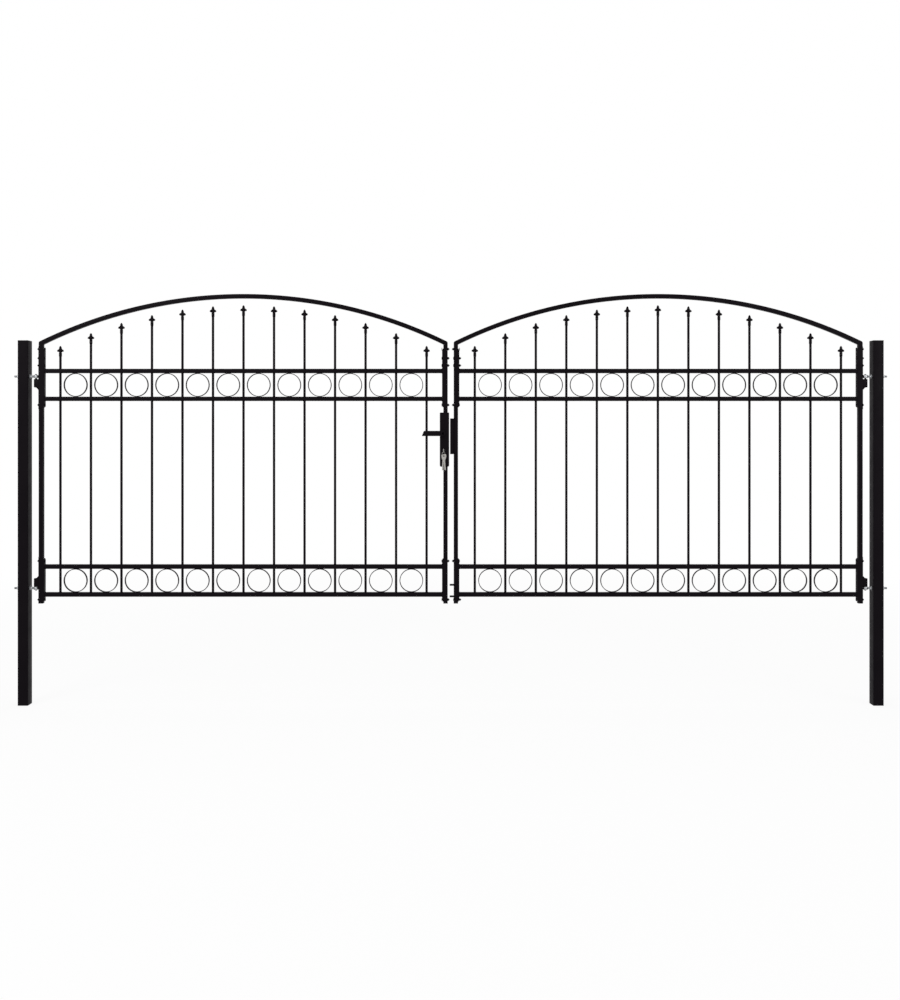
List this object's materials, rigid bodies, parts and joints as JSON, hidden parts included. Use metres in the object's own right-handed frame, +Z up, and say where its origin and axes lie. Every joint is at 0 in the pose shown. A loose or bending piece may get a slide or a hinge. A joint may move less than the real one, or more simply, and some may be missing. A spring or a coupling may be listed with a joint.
{
  "type": "double fence gate",
  "caption": "Two-leaf arched steel driveway gate on square posts, with round bars, rings between paired rails, spear finials, eye-bolt hinges and a lever lock.",
  "frame": {"origin": "middle of the left post's foot face, seen from the front", "axes": "+X to the right along the closed gate, +Y from the front to the back, +Z up"},
  "size_m": [5.06, 0.133, 2.3798],
  "materials": {
    "black_coat": "satin black powder coat",
    "galvanised": "dull galvanised",
    "black_plastic": "moulded black",
    "nickel": "nickel plated",
    "black_nickel": "blackened nickel"
  },
  "bodies": {
    "posts": {"left_post": "black_coat", "right_post": "black_coat", "post_caps": "black_plastic", "foot_plugs": "black_plastic", "left_eyebolts": "galvanised", "right_eyebolts": "galvanised"},
    "left_leaf": {"left_arch": "black_coat", "left_hinge_stile": "black_coat", "left_meeting_stile": "black_coat", "left_upper_rails": "black_coat", "left_lower_rails": "black_coat", "left_upper_rings": "black_coat", "left_lower_rings": "black_coat", "left_bars": "black_coat", "left_finials": "black_coat", "left_hinge_sleeves": "black_coat", "left_meeting_sleeves": "black_coat", "left_hinge_brackets": "black_coat", "left_stile_caps": "black_plastic", "lock_case": "black_coat", "lock_cylinder": "black_nickel", "lock_key": "nickel", "key_ring": "nickel", "hanging_key": "nickel"},
    "right_leaf": {"right_arch": "black_coat", "right_hinge_stile": "black_coat", "right_meeting_stile": "black_coat", "right_upper_rails": "black_coat", "right_lower_rails": "black_coat", "right_upper_rings": "black_coat", "right_lower_rings": "black_coat", "right_bars": "black_coat", "right_finials": "black_coat", "right_hinge_sleeves": "black_coat", "right_meeting_sleeves": "black_coat", "right_hinge_brackets": "black_coat", "right_stile_caps": "black_plastic", "strike_box": "black_coat", "guide_lugs": "black_coat"},
    "lever": {"front_lever": "black_coat", "back_lever": "black_coat", "lever_spindle": "galvanised"}
  },
  "joints": [
    {"name": "left_leaf_hinge", "type": "hinge", "parent": "posts", "child": "left_leaf", "pos_m": [0.065, 0, 0.675], "axis": [0, 0, 1], "range_deg": [-90, 90]},
    {"name": "right_leaf_hinge", "type": "hinge", "parent": "posts", "child": "right_leaf", "pos_m": [4.875, 0, 0.675], "axis": [0, 0, -1], "range_deg": [-90, 90]},
    {"name": "lever_turn", "type": "hinge", "parent": "left_leaf", "child": "lever", "pos_m": [2.429, 0, 1.572], "axis": [0, -1, 0], "range_deg": [0, 45], "stiffness_Nm_per_rad": 1.6, "springref_deg": -28.65}
  ]
}
